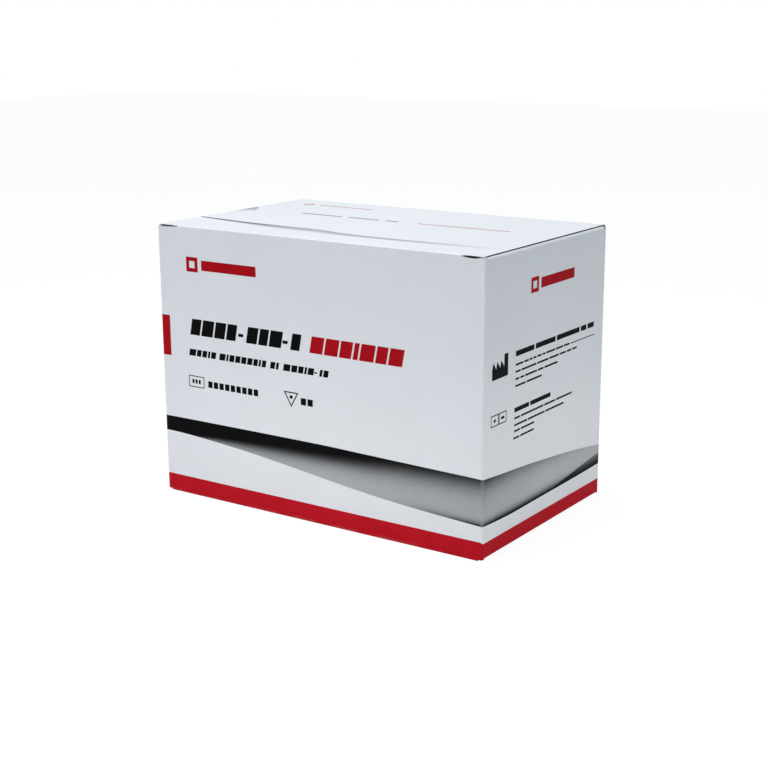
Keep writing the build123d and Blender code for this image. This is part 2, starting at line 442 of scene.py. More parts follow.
class Walls:
    """The strip of the walls with the distances that its mesh, its flaps and its print share.

    Three tables give the raw edge at the front right corner, in millimetres from the corner: the dip under the
    right slit in shares of the deepest, the ends of the flat beside it, and the ends of the knuckle with the
    place where the edge is level again.
    """

    RIGHT_DIP = ((10, 0.3), (8, 0.85), (6.3, 1), (4.8, 0.7), (3.6, 0))
    RIGHT_FLAT = (-2.8, -1.4)
    KNUCKLE_ENDS = (-1.2, 1.2, 1.8)

    def __init__(self):
        s = sizes()
        self.surface = wall_surface()
        half, deep, step = WIDTH / 2, DEPTH / 2, 0.02 * MM
        self.rim = HEIGHT - s.board - s.lid_gap
        self.left, self.front, self.right, self.rear, self.end = self.surface.starts[1:]
        self.dust = (-deep + s.dust_front, deep - s.dust_rear)
        self.minor_half, self.major_half = deep - s.foot, half - s.foot
        self.tip_low = -self.major_half + s.major_slant
        self.tip_high = self.major_half - (deep - s.meet_gap - s.fold)
        self.middles = (self.front + half, self.rear + half)

        rim, raised, high = self.rim, 2 * s.board + s.fold, HEIGHT - s.board - s.hinge_gap
        top = [(0, rim - s.glue_taper), (self.left - s.fold, rim)]
        foot = [(0, s.fold + s.glue_taper), (self.left - s.fold, s.fold), (self.end, s.fold)]
        for side in (self.on_left, self.on_right):
            a, b = sorted([side(self.dust[0] - s.relief), side(self.dust[1] + s.relief)])
            top += [(a - step, rim), (a, rim - s.dust_fold), (b, rim - s.dust_fold), (b + step, rim)]
            a, b = sorted([side(-self.minor_half - s.relief), side(self.minor_half + s.relief)])
            foot += [(a - step, s.fold), (a, raised), (b, raised), (b + step, s.fold)]
        near, slit_end = rim + 0.15 * MM, self.front + s.slit
        top += [(self.front - s.fold, rim), (self.front, rim - s.dip), (slit_end - step, near), (slit_end, rim)]
        slit_end = self.right - s.slit
        top += [(slit_end, rim), (slit_end + step, near)]
        top += [(self.right - x * MM, rim - s.dip * part) for x, part in self.RIGHT_DIP]
        top += [(self.right + x * MM, near) for x in self.RIGHT_FLAT]
        rises = (s.knuckle, s.knuckle, 0)
        top += [(self.right + x * MM, rim + rise) for x, rise in zip(self.KNUCKLE_ENDS, rises)]
        top += [(self.rear + s.fold, rim), (self.rear + s.fold + step, high), (self.end, high)]
        top, foot = np.array(sorted(top)), np.array(sorted(foot))

        width = self.tip_high - self.tip_low
        parts = [(-x - self.tip_low) / width for x in (s.tongue_far, s.tongue_near)]
        roots = [-self.major_half, self.major_half, *(self.major_half * (2 * part - 1) for part in parts)]
        ends = [*self.dust, -self.minor_half, self.minor_half]
        shared = [side(y) for side in (self.on_left, self.on_right) for y in ends]
        shared += [middle + x for middle in self.middles for x in roots]
        stops = [[0, self.end], self.surface.bends(), top[:, 0], foot[:, 0], shared]
        self.stops = spaced(np.concatenate(stops), s.cell)
        self.top, self.foot = np.interp(self.stops, *top.T), np.interp(self.stops, *foot.T)

    def on_right(self, y):
        """Distance of a place on the right panel."""
        return self.right + DEPTH / 2 + y

    def on_left(self, y):
        """Distance of a place on the left panel."""
        return self.front - DEPTH / 2 - y

    def root(self, side, low, high):
        """Places along a fold on a side panel at which the wall and the flap share points."""
        chosen = between(self.stops, *sorted([side(low), side(high)]))
        return np.sort(self.surface.at(chosen, self.rim)[0][:, 1])

    def dust_flap(self, sign):
        """A dust flap's surface: up the side panel and in over it."""
        s, half = sizes(), WIDTH / 2
        corners = [(half, self.rim - s.dust_fold), (half, self.rim), (half - s.dust_reach, self.rim)]
        return Folded(corners, s.dust_fold, (0, 2, 1), (sign, 1, 1))

    def minor_flap(self, sign):
        """A minor flap's surface, from its tip outwards and up into the side panel."""
        s, half = sizes(), WIDTH / 2
        floor = 2 * s.board
        corners = [(half - s.minor_reach, floor), (half, floor), (half, floor + s.fold)]
        return Folded(corners, s.fold, (0, 2, 1), (sign, 1, 1))

    def major_flap(self, sign):
        """A major flap's surface: down the front panel and back under the box, or turned round for the rear."""
        s = sizes()
        corners = [(-DEPTH / 2, s.fold), (-DEPTH / 2, 0), (-s.meet_gap, 0)]
        return Folded(corners, s.fold, (1, 2, 0), (sign, sign, 1))


def body_sheet():
    """Walls, glue flap, dust flaps and bottom as one sheet of board."""
    s = sizes()
    walls = Walls()
    sheet = Sheet(s.board, s.film)
    inside = spaced([s.cell, HEIGHT - s.cell], s.cell)[:, None]
    inside = np.broadcast_to(inside, (len(inside), len(walls.stops)))
    heights = np.concatenate([[walls.foot], inside, [walls.top]])
    sheet.patch(*walls.surface.at(walls.stops[None, :], heights))

    for sign, side in ((1, walls.on_right), (-1, walls.on_left)):
        # Dust flap
        flap = walls.dust_flap(sign)
        tip, front, rear = flap.starts[-1], *walls.dust
        rows = [[0, s.dust_fold + s.slit, tip], flap.bends(), arc_stops(tip, s.dust_corner)]
        rows = between(spaced(np.concatenate(rows), s.cell), 0, tip)
        draw = rounded(rows, tip, s.dust_corner)
        low = np.interp(rows, [s.dust_fold + s.slit, tip], [front, front + s.dust_taper]) + draw
        high = np.interp(rows, [2 * s.dust_fold, tip], [rear, rear - s.dust_taper]) - draw
        sheet.patch(*flap.at(rows[:, None], widened(walls.root(side, front, rear), low, high)))

        # Minor bottom flap, which lies on the major ones
        flap = walls.minor_flap(sign)
        rows = [[0, flap.starts[-1]], flap.bends(), s.minor_corner - arc_stops(s.minor_corner, s.minor_corner)]
        rows = between(spaced(np.concatenate(rows), s.cell), 0, flap.starts[-1])
        narrow = np.interp(rows, [0, s.minor_reach - s.fold], [s.minor_taper, 0])
        reach = walls.minor_half - narrow - rounded(-rows, 0, s.minor_corner)
        root = walls.root(side, -walls.minor_half, walls.minor_half)
        sheet.patch(*flap.at(rows[:, None], widened(root, -reach, reach)))

    for sign, middle in zip((1, -1), walls.middles):
        # Major bottom flap
        root = between(walls.stops, middle - walls.major_half, middle + walls.major_half) - middle
        flap = walls.major_flap(sign)
        tip = flap.starts[-1]
        rows = spaced(np.concatenate([[0, tip - s.tongue_ramp, tip], flap.bends()]), s.cell)
        rows = between(rows, 0, tip)
        low = np.interp(rows, [2 * s.fold, tip], [-walls.major_half, walls.tip_low])
        high = np.interp(rows, [2 * s.fold, tip], [walls.major_half, walls.tip_high])
        across = widened(root, low, high)
        points, normals = flap.at(rows[:, None], across)
        rise = np.clip((rows - (tip - s.tongue_ramp)) / s.tongue_ramp, 0, 1)[:, None]
        lifted = (across > -s.tongue_far - WELD / 10) & (across < -s.tongue_near + WELD / 10)
        points[..., 2] += s.board * rise * lifted
        sheet.patch(points, normals)

        # Its tongue, which lies on the other major flap
        edge = between(across[-1], -s.tongue_far, -s.tongue_near)
        out = s.tongue_reach + s.meet_gap
        rows = spaced(np.concatenate([[0, out], arc_stops(out, s.tongue_corner)]), s.cell)
        draw = rounded(rows, out, s.tongue_corner)
        ends = [(-s.meet_gap, s.board), (s.tongue_reach, s.board)]
        plate = Folded(ends, s.fold, (1, 2, 0), (sign, sign, 1))
        sheet.patch(*plate.at(rows[:, None], widened(edge, -s.tongue_far + draw, -s.tongue_near - draw)))

        # Its glued tab, folded back along the diagonal
        share_a, share_b = np.meshgrid(np.linspace(0, 1, 6), np.linspace(0, 1, 5), indexing="ij")
        back, past = DEPTH / 2 - s.fold - s.tab_inset, s.tongue_reach + s.tab_setback
        crease = walls.major_half - DEPTH / 2 + s.fold + past
        shift = s.tab_width / math.sqrt(2)
        near_x = walls.major_half - s.tab_inset + share_a * (crease - walls.major_half + s.tab_inset)
        near_y = -back + share_a * (back - past)
        far_x = crease - 2 * shift - past + back + share_a * (shift + past - back)
        far_y = -back + share_a * (back - past - shift)
        x, y = near_x + share_b * (far_x - near_x), near_y + share_b * (far_y - near_y)
        points = np.stack([sign * x, sign * y, np.full_like(x, s.board)], axis=-1)
        sheet.patch(points, np.broadcast_to((0.0, 0.0, -1.0), points.shape))
    return sheet


def lid_sheet():
    """The lid's panel, its corner plates and its tuck flap as one sheet of board."""
    s = sizes()
    surface = lid_surface()
    sheet = Sheet(s.board, s.film)
    half, slit_x = WIDTH / 2 - s.lid_inset, WIDTH / 2 - s.slit
    fold_start = surface.starts[1] - surface.reaches[0]
    fold_end = surface.starts[1] + surface.reaches[0]
    end = surface.starts[-1]
    across = spaced([-half, -slit_x, slit_x, half], s.cell)
    middle = between(across, -slit_x, slit_x)
    panel = spaced([0, fold_start - BESIDE_FOLD, fold_start], s.cell)
    sheet.patch(*surface.at(panel[:, None], across[None, :]))

    drop = fold_end + s.ear_drop
    ear_arc = 2 * drop + s.ear_corner - arc_stops(drop + s.ear_corner, s.ear_corner)
    ear = spaced(np.concatenate([[drop, end], ear_arc, arc_stops(end, s.tuck_corner)]), s.cell)
    fold_rows = between(surface.bends(), fold_start, fold_end + BESIDE_FOLD)
    sheet.patch(*surface.at(np.union1d(np.round(fold_rows, 9), ear)[:, None], middle[None, :]))

    flat = Folded([surface.corners[0], surface.corners[1] - (s.slit, 0)], s.fold, (1, 2, 0))
    plate_end = DEPTH - s.crease - s.lid_front
    plate = spaced(np.concatenate([[fold_start, plate_end], arc_stops(plate_end, s.lid_corner)]), s.cell)
    plate = between(plate, fold_start, plate_end)
    tuck_half = WIDTH / 2 - s.tuck_side
    drawn = half - rounded(plate, plate_end, s.lid_corner)
    outer = tuck_half - rounded(ear, end, s.tuck_corner) - rounded(-ear, -drop, s.ear_corner)
    plate_root, ear_root = between(across, slit_x, half), spaced([slit_x, tuck_half], s.cell / 2)
    for sign in (1, -1):
        for part, rows, root, reach in ((flat, plate, plate_root, drawn), (surface, ear, ear_root, outer)):
            sheet.patch(*part.at(rows[:, None], sign * widened(root, np.full_like(rows, slit_x), reach)))
    return sheet


# The print, laid out in millimetres on each panel

TYPE_SLANT = 0.2  # how far the type leans to the right, as a share of its height
TITLE = (47.4, 55.8)  # top and bottom of the type in the front panel's title
LID_TITLE = (46.0, 48.6)  # and in the lid's
LID_PRINT_EDGE = 1.3  # from a side panel's face to the lid's print


def marks_sheet(place, quads):
    """A sheet of print made of marks.

    A mark is a quadrilateral given by four corners, divided into cells, and a point in it is its corners
    weighted by the shares of the way across and down.
    """
    cell, sheet = sizes().cell, Sheet(sizes().film)
    for corners in quads:
        a, b, c, d = np.asarray(corners, float) * MM
        wide = max(1, math.ceil(max(np.hypot(*(b - a)), np.hypot(*(c - d))) / cell))
        tall = max(1, math.ceil(max(np.hypot(*(d - a)), np.hypot(*(c - b))) / cell))
        i, j = np.meshgrid(np.linspace(0, 1, wide + 1), np.linspace(0, 1, tall + 1), indexing="ij")
        i, j = i[..., None], j[..., None]
        uv = (1 - i) * (1 - j) * a + i * (1 - j) * b + i * j * c + (1 - i) * j * d
        sheet.patch(*place(uv[..., 0], uv[..., 1]))
    return sheet


def bar(left, right, top, bottom, slant=0.0):
    """An upright or slanted block: its top is pushed right by the slant times its height."""
    push = slant * (bottom - top)
    return [[(left + push, top), (right + push, top), (right, bottom), (left, bottom)]]


def frame_marks(left, right, top, bottom, stroke):
    """The outline of a box."""
    (outer,) = bar(left, right, top, bottom)
    (inner,) = bar(left + stroke, right - stroke, top + stroke, bottom - stroke)
    return ring(outer, inner)


def ring(outer, inner):
    """An outline between two polygons of as many corners."""
    following = [*range(1, len(outer)), 0]
    return [[outer[i], outer[j], inner[j], inner[i]] for i, j in enumerate(following)]


def blocks(left, right, top, bottom, shares, gap, slant=0.0):
    """A row of blocks in place of words. Each share is a block's part of the row, less the gaps."""
    shares = np.asarray(shares, float)
    room = (right - left) - gap * (len(shares) - 1)
    widths = shares / shares.sum() * room
    starts = left + np.concatenate([[0], np.cumsum(widths + gap)[:-1]])
    marks = [bar(start, start + wide, top, bottom, slant) for start, wide in zip(starts, widths)]
    return sum(marks, [])


def ribbon_edges(along):
    """Upper edge, lower edge and the dark wedge's upper edge of the ribbon, down from the top, in millimetres.

    The distance is measured from the front panel's left edge round to the right. Each edge is a smooth line
    through a few heights, and the wedge starts as a hairline along the lower edge.
    """
    least_body = 0.4
    upper_line = (
        (-120, 103.2), (-60, 102.2), (0, 101.6), (100, 101.4), (125, 101.8), (150, 102.2), (175, 102.6),
        (195, 103.0), (210, 104.3), (225, 105.5), (240, 106.8), (255, 108.3), (270, 109.8), (285, 111.5),
        (300, 113.4), (315, 115.4), (380, 111.0), (450, 106.0), (510, 103.2),
    )
    lower_line = (
        (-120, 111.4), (-60, 110.0), (0, 109.6), (50, 112.5), (75, 115.1), (100, 118.1), (125, 121.0),
        (150, 123.2), (175, 124.7), (195, 125.7), (205, 126.3), (225, 126.9), (240, 126.8), (315, 125.9),
        (380, 122.5), (450, 116.2), (510, 111.4),
    )
    wedge_line = (
        (-120, 200), (262, 126.4), (270, 124.9), (285, 123.2), (300, 121.4), (315, 119.7), (380, 113.6),
        (450, 107.0), (510, 103.8),
    )
    upper, lower, wedge = (smooth_line(along, *zip(*line)) for line in (upper_line, lower_line, wedge_line))
    hairline = np.interp(along, [180, 205, 265], [0.35, 0.95, 0.8])
    return upper, lower, np.clip(wedge, upper + least_body, lower - hairline)


def smooth_line(along, places, heights):
    """A line through heights at places.

    Between two of them it is a cubic. Its slope at a place is the mean of the slopes on both sides, at most
    three times the smaller, or nought where they differ in sign.
    """
    places, heights = np.asarray(places, float), np.asarray(heights, float)
    gaps = np.diff(places)
    slopes = np.diff(heights) / gaps
    inner = np.where(slopes[:-1] * slopes[1:] > 0, (slopes[:-1] + slopes[1:]) / 2, 0)
    most = 3 * np.minimum(np.abs(slopes[:-1]), np.abs(slopes[1:]))
    inner = np.clip(inner, -most, most)
    ends = np.concatenate([slopes[:1], inner, slopes[-1:]])
    run = np.clip(np.searchsorted(places, along, side="right") - 1, 0, len(gaps) - 1)
    t = np.clip((along - places[run]) / gaps[run], 0, 1)
    return (
        (2 * t**3 - 3 * t**2 + 1) * heights[run]
        + (t**3 - 2 * t**2 + t) * gaps[run] * ends[run]
        + (3 * t**2 - 2 * t**3) * heights[run + 1]
        + (t**3 - t**2) * gaps[run] * ends[run + 1]
    )


def eased(value, low, high):
    """From 0 at low to 1 at high, as three times the square less twice the cube of the share between."""
    t = np.clip((value - low) / (high - low), 0, 1)
    return t * t * (3 - 2 * t)


def ribbon_tone(along, down, lower, wedge):
    """Tone of the ribbon, from 0 for black to 1 for white.

    Its body grows out of black downwards as one less the exponential of the negative square of a depth over a
    softness, which is short at the left and long at the right. The lower edge is shaded by a falling
    exponential. The wedge is dark at its upper edge and falls to black at its lower one, and comes in with the
    distance along.
    """
    places = [-120, 0, 30, 50, 75, 100, 125, 150, 175, 195, 225, 255, 285, 315, 360, 510]
    starts = [140, 112, 108, 106.6, 104.9, 103.8, 101.8, 99.4, 97.8, 96.6, 95.5, 97.6, 98.8, 96, 88, 80]
    softnesses = [2, 2, 2.6, 3.6, 5.2, 6.1, 7.5, 8.5, 9.2, 9.9, 10.2, 9, 8, 8, 8, 8]
    body_places = [0, 50, 75, 110, 150, 194, 199, 225, 255, 450]
    bodies = [0.65, 0.66, 0.69, 0.715, 0.70, 0.69, 0.71, 0.725, 0.75, 0.73]
    under = np.interp(along, [125, 150, 175, 190, 200, 210], [0.0, 0.05, 0.36, 0.62, 0.85, 0.98])
    under_height, under_power = np.interp(along, [199, 220], [1.8, 2.3]), 1.55
    depth = np.maximum(down - smooth_line(along, places, starts), 0) / smooth_line(along, places, softnesses)
    height = np.maximum(lower - down, 0) / under_height
    grown = np.interp(along, body_places, bodies) * (1 - np.exp(-(depth**2)))
    tone = grown * (1 - under * np.exp(-(height**under_power)))

    wedge_black, wedge_begins, wedge_full = 0.05, 176, 206
    least_wedge, line_width = 0.1, 0.02
    through = np.clip((down - wedge) / np.maximum(lower - wedge, least_wedge), 0, 1)
    dark = wedge_black + np.interp(along, [270, 285, 300, 315], [0.0, 0.14, 0.40, 0.50]) * (1 - through)
    darkened = tone + (np.minimum(dark, tone) - tone) * eased(along, wedge_begins, wedge_full)
    return np.where(down > wedge + line_width, darkened, tone)


def wall_place(panel_start):
    """Where a point of a wall's print lies: across from the panel's left edge and down from the top."""
    surface = wall_surface()
    return lambda across, down: surface.at(panel_start + across, HEIGHT - down)


def lid_place():
    """Where a point of the lid's print lies: across from its left and forwards from the rear edge."""
    surface = lid_surface()
    return lambda across, down: surface.at(down - sizes().crease, across - WIDTH / 2)


def base_band():
    """The band round the foot of the walls, which runs on over the bottom's folds."""
    s = sizes()
    walls = Walls()
    sheet = Sheet(s.film)
    chosen = walls.stops > walls.left - ROUNDING
    stops, foot = walls.stops[chosen], walls.foot[chosen]
    corners = [walls.front, walls.right, walls.rear]
    places = [walls.left, *(corner + side for corner in corners for side in (-s.fold, s.fold)), walls.end]
    tops = np.repeat([134.2, 133.4, 134.2, 133.8], 2) * MM
    middle, bleed = 4.5 * MM, 4 * MM
    top = HEIGHT - np.interp(stops, places, tops)
    sheet.patch(*walls.surface.at(stops[None, :], np.array([foot, np.full_like(stops, middle), top])))
    for sign, centre in zip((1, -1), walls.middles):
        root = between(walls.stops, centre - walls.major_half, centre + walls.major_half) - centre
        flap = walls.major_flap(sign)
        rows = between(np.concatenate([[0, 2 * s.fold + bleed], flap.bends()]), 0, 2 * s.fold + bleed)
        rows = np.unique(np.round(rows, 9))
        low = np.interp(rows, [2 * s.fold, flap.starts[-1]], [-walls.major_half, walls.tip_low])
        high = np.interp(rows, [2 * s.fold, flap.starts[-1]], [walls.major_half, walls.tip_high])
        sheet.patch(*flap.at(rows[:, None], widened(root, low, high)))
    for sign, side in ((1, walls.on_right), (-1, walls.on_left)):
        flap = walls.minor_flap(sign)
        end = flap.starts[-1]
        start = end - 2 * s.fold - bleed
        rows = np.unique(np.round(between(np.concatenate([[start, end], flap.bends()]), start, end), 9))
        root = walls.root(side, -walls.minor_half, walls.minor_half)
        reach = walls.minor_half - np.interp(rows, [0, s.minor_reach - s.fold], [s.minor_taper, 0])
        sheet.patch(*flap.at(rows[:, None], widened(root, -reach, reach)))
    return sheet


def wall_ribbon():
    """The ribbon round the walls, with its tone at each point."""
    s = sizes()
    walls = Walls()
    sheet = Sheet(s.film)
    stops = spaced(np.concatenate([walls.surface.bends(), [walls.left, walls.end]]), s.cell / 2)
    stops = between(stops, walls.left, walls.end)
    along = (stops - walls.front) / MM
    upper, lower, wedge = ribbon_edges(along)
    step = 0.04
    over, under = np.linspace(0, 1, 33)[:, None], np.linspace(0, 1, 11)[:, None]
    down = np.concatenate([upper + over * (wedge - upper), wedge + step + under * (lower - wedge - step)])
    tone = ribbon_tone(along[None, :], down, lower, wedge)
    sheet.patch(*walls.surface.at(stops[None, :], HEIGHT - down * MM), tone)
    return sheet


def lid_ribbon():
    """The ribbon's thin tail on the lid, dark along its rear edge and paler towards the front and the right."""
    sheet = Sheet(sizes().film)
    paper = 0.93
    across = np.linspace(LID_PRINT_EDGE, 190, 65)
    places = [0, 10, 35, 60, 85, 100, 130, 155, 175, 195]
    upper = smooth_line(across, places, [87.0, 88.0, 90.4, 91.2, 92.0, 95.2, 96.8, 96.2, 95.6, 95.2])
    lower = smooth_line(across, places, [88.6, 90.6, 96.2, 102.6, 104.4, 103.4, 102.8, 103.2, 102.6, 101.8])
    share_down = np.linspace(0, 1, 15)[:, None]
    down = upper + share_down * (lower - upper)
    dark = np.interp(across, places, [0.24, 0.26, 0.34, 0.60, 0.67, 0.70, 0.68, 0.77, 0.83, 0.93])
    held = np.interp(across, [0, 10, 35, 85, 100, 130, 195], [0.7, 0.6, 0.0, 0.0, 0.4, 0.4, 0.2])
    tone = dark + (paper - dark) * eased(share_down, held, 1.0)
    sheet.patch(*lid_place()(across[None, :] * MM, down * MM), tone)
    return sheet


def wrapped_tab(reach, top, bottom):
    """The tab that runs round the front left corner, as far on either side of it."""
    s = sizes()
    surface = wall_surface()
    corner = surface.starts[2]
    low, high = corner - reach, corner + reach
    stops = between(spaced(np.concatenate([surface.bends(), [low, high]]), s.cell), low, high)
    heights = HEIGHT - spaced([top, bottom], s.cell)
    sheet = Sheet(s.film)
    sheet.patch(*surface.at(stops[None, :], heights[:, None]))
    return sheet


def front_print():
    """Black marks of the front panel: a title row, a line under it, a boxed sign, a count and a triangle."""
    rows = [
        (19.5, 49.5, TITLE, [5.6, 6.6, 6.0, 5.4], 1.0),
        (56.4, 78.6, TITLE, [6.0, 5.0, 6.8], 1.0),
        (84.4, 90.0, TITLE, [1], 0),
        (51.4, 54.6, (51.6, 53.2), [1], 0),
        (79.6, 82.8, (51.6, 53.2), [1], 0),
        (18.2, 36.0, (63.4, 66.9), [4.4, 3.0, 3.0, 1.4, 3.2], 0.7),
        (38.4, 68.6, (63.4, 66.9), [3.6, 1.2, 3.0, 3.0, 3.0, 3.0, 2.6, 1.2, 2.4], 0.7),
        (71.4, 76.6, (63.4, 66.9), [3.0, 1.6], 0.7),
        (79.6, 98.4, (63.4, 66.9), [3.8, 3.2, 2.8, 1.2, 3.2], 0.7),
        (99.0, 100.6, (65.0, 65.8), [1], 0),
        (102.0, 107.2, (63.4, 66.9), [1.6, 3.0], 0.7),
    ]
    marks = frame_marks(17.5, 27.8, 77.5, 83.6, 0.42) + blocks(19.8, 25.4, 79.4, 81.6, [1, 1, 1], 0.8)
    for left, right, height, shares, gap in rows:
        marks += blocks(left, right, *height, shares, gap, TYPE_SLANT)
    marks += blocks(30.5, 63.4, 79.2, 82.6, [1] * 9, 0.9)
    marks += ring([(79.8, 77.2), (89.0, 77.2), (84.4, 85.0)], [(80.9, 77.8), (87.9, 77.8), (84.4, 83.8)])
    return marks + bar(83.5, 85.3, 79.0, 80.6) + blocks(90.4, 97.8, 79.4, 82.9, [1, 1], 0.9)


def front_red_print():
    """Red marks of the front panel: a sign of a square and a bar, and the second part of the title."""
    marks = frame_marks(18.6, 26.2, 15.4, 23.0, 2.0) + bar(28.6, 64.0, 16.6, 21.8)
    return marks + blocks(96.2, 150.4, *TITLE, [6.6, 6.8, 6.0, 2.4, 7.0, 5.4, 6.8], 1.0, TYPE_SLANT)


def side_print():
    """Black marks of the right panel: a stepped block, lines of small print, and a box of two cells."""
    marks = bar(7.0, 21.8, 53.0, 57.8) + bar(18.2, 21.8, 47.2, 53.0)
    for left in (7.0, 10.7, 14.4):
        marks += [[(left + 0.9, 50.0), (left + 1.5, 50.0), (left + 3.7, 53.0), (left, 53.0)]]
    marks += blocks(29.0, 109.0, 48.0, 50.6, [9, 10, 12, 3, 3.4], 1.4)
    rows = [
        (29.0, 83.0, 54.1, [5, 3, 2, 2, 3, 2, 6, 5, 4]),
        (29.0, 91.0, 57.5, [3, 9, 7, 6, 4, 3, 3]),
        (29.0, 71.0, 61.0, [2, 2, 6, 3, 7]),
        (29.0, 55.0, 64.4, [4, 6]),
        (28.6, 87.0, 79.9, [3, 12, 6, 9]),
        (28.6, 78.5, 83.3, [6, 8, 9]),
        (28.6, 48.4, 86.2, [3, 7]),
        (28.0, 48.0, 89.6, [3, 7]),
    ]
    for left, right, top, parts in rows:
        marks += blocks(left, right, top, top + 0.95, parts, 0.9)
    marks += bar(84.0, 109.6, 54.5, 55.0)
    marks += blocks(28.6, 64.4, 75.3, 77.5, [7, 10], 1.2)
    marks += frame_marks(6.5, 13.7, 74.4, 79.9, 0.5) + frame_marks(13.9, 21.0, 74.4, 79.9, 0.5)
    marks += bar(9.2, 11.0, 76.5, 77.9) + bar(15.9, 19.0, 76.6, 77.8)
    return marks


def side_red_print():
    """Red marks of the right panel: the same sign of a square and a bar."""
    return frame_marks(42.4, 49.8, 15.6, 23.0, 1.9) + bar(52.2, 86.0, 16.8, 21.8)


def lid_print():
    """Black marks of the lid: thin strokes in place of the first part of the title."""
    words = [(38.0, 63.0, 14), (69.0, 87.0, 10), (92.0, 99.0, 4)]
    marks = [blocks(left, right, *LID_TITLE, [1] * count, 1.0, TYPE_SLANT) for left, right, count in words]
    return sum(marks, [])


def lid_red_print():
    """Red marks of the lid: the sign and the second part of the title."""
    marks = frame_marks(17.0, 22.0, 14.2, 19.2, 0.8) + bar(26.4, 62.0, 16.2, 17.2)
    return marks + blocks(112.0, 165.0, *LID_TITLE, [1] * 30, 1.1, TYPE_SLANT)


def lid_tab():
    """The grey tab at the lid's left edge, which widens and pales forwards.

    Its tone is a grey, plus an eased rise forwards that is stronger to the right, plus the square of the share
    of the way across.
    """
    start, widest, end = 41.5, 56.0, 60.0
    grey, rise, pale_from, pale_to = 0.66, 0.27, 47.0, 60.5
    down = np.linspace(start, end, 13)[:, None]
    reach = np.interp(down, [start, widest, end], [2.0, 10.5, 9.0])
    part = np.linspace(0, 1, 9)[None, :]
    across = LID_PRINT_EDGE + part * reach
    tone = grey + rise * eased(down, pale_from, pale_to) * (0.6 + 0.4 * part) + 0.08 * part**2
    sheet = Sheet(sizes().film)
    sheet.patch(*lid_place()(across * MM, down * MM), tone)
    return sheet


# Materials


class Signal:
    """A number in a shader. Python's operators add Math nodes, so an expression reads as it is worked out."""

    def __init__(self, finish, socket):
        self.finish, self.socket = finish, socket

    def apply(self, operation, *values):
        """The result of a Math node on those values."""
        node = self.finish.node("ShaderNodeMath", {"operation": operation}, dict(enumerate(values)))
        return Signal(self.finish, node.outputs[0])

    def __add__(self, other):
        return self.apply("ADD", self, other)

    def __radd__(self, other):
        return self.apply("ADD", other, self)

    def __sub__(self, other):
        return self.apply("SUBTRACT", self, other)

    def __rsub__(self, other):
        return self.apply("SUBTRACT", other, self)

    def __mul__(self, other):
        return self.apply("MULTIPLY", self, other)

    def __rmul__(self, other):
        return self.apply("MULTIPLY", other, self)

    def __pow__(self, other):
        return self.apply("POWER", self, other)

    def __abs__(self):
        return self.apply("ABSOLUTE", self)

    def least(self, other):
        return self.apply("MINIMUM", self, other)

    def most(self, other):
        return self.apply("MAXIMUM", self, other)

    def eased(self, low, high):
        """From 0 at low to 1 at high, smoothly."""
        ends = {"Value": self, "From Min": low, "From Max": high}
        node = self.finish.node("ShaderNodeMapRange", {"interpolation_type": "SMOOTHSTEP"}, ends)
        return Signal(self.finish, node.outputs[0])


class Finish:
    """A material, or the world, being made, with one method for every node."""

    def __init__(self, name, store=None):
        store = bpy.data.materials if store is None else store
        self.made = store.new(name)
        self.made.use_nodes = True
        self.tree = self.made.node_tree
        self.tree.nodes.clear()

    @cached_property
    def object_place(self):
        """The place in the object's own space, from one node however often it is read."""
        return self.node("ShaderNodeTexCoord").outputs["Object"]

    def node(self, kind, settings=None, sockets=None):
        """A node of that type: its settings first, then its sockets' values or links, by name or number."""
        node = self.tree.nodes.new(kind)
        for key, value in (settings or {}).items():
            setattr(node, key, value)
        for key, value in (sockets or {}).items():
            socket = node.inputs[key]
            if isinstance(value, Signal):
                value = value.socket
            if isinstance(value, bpy.types.NodeSocket):
                self.tree.links.new(value, socket)
            else:
                socket.default_value = value
        return node

    def noise(self, scale, detail=2.0, stretch=(1, 1, 1), roughness=0.5):
        """Noise in the object's own place, stretched along its axes, from about 0.25 to 0.75."""
        place = self.node("ShaderNodeMapping", {}, {"Vector": self.object_place, "Scale": stretch}).outputs[0]
        values = {"Vector": place, "Scale": scale, "Detail": detail, "Roughness": roughness}
        return Signal(self, self.node("ShaderNodeTexNoise", {}, values).outputs[0])

    def blend(self, share_of_second, first, second):
        """A colour between two, each a colour or a link."""
        first = (*first, 1) if isinstance(first, (tuple, list)) and len(first) == 3 else first
        second = (*second, 1) if isinstance(second, (tuple, list)) and len(second) == 3 else second
        node = self.node("ShaderNodeMix", {"data_type": "RGBA"}, {0: share_of_second, 6: first, 7: second})
        return node.outputs[2]

    def attribute(self, name):
        """A number that comes with the mesh."""
        return Signal(self, self.node("ShaderNodeAttribute", {"attribute_name": name}).outputs["Fac"])

    def places(self):
        """The place on the object as three numbers."""
        node = self.node("ShaderNodeSeparateXYZ", {}, {0: self.object_place})
        return [Signal(self, output) for output in node.outputs]

    def bump(self, height, distance):
        """A normal tilted by the slope of a height from 0 to 1, which stands for that distance."""
        node = self.node("ShaderNodeBump", {}, {"Height": height, "Distance": distance, "Strength": 1.0})
        return node.outputs[0]

    def surface(self, **sockets):
        """The Principled shader and the output, which end the material. An underscore in a name is a space."""
        named = {key.replace("_", " "): value for key, value in sockets.items()}
        shader = self.node("ShaderNodeBsdfPrincipled", {}, named)
        self.node("ShaderNodeOutputMaterial", {}, {"Surface": shader.outputs[0]})
        return self.made


def shaded(colour, factor):
    """A colour times a factor, at most white."""
    return tuple(min(1.0, channel * factor) for channel in colour)


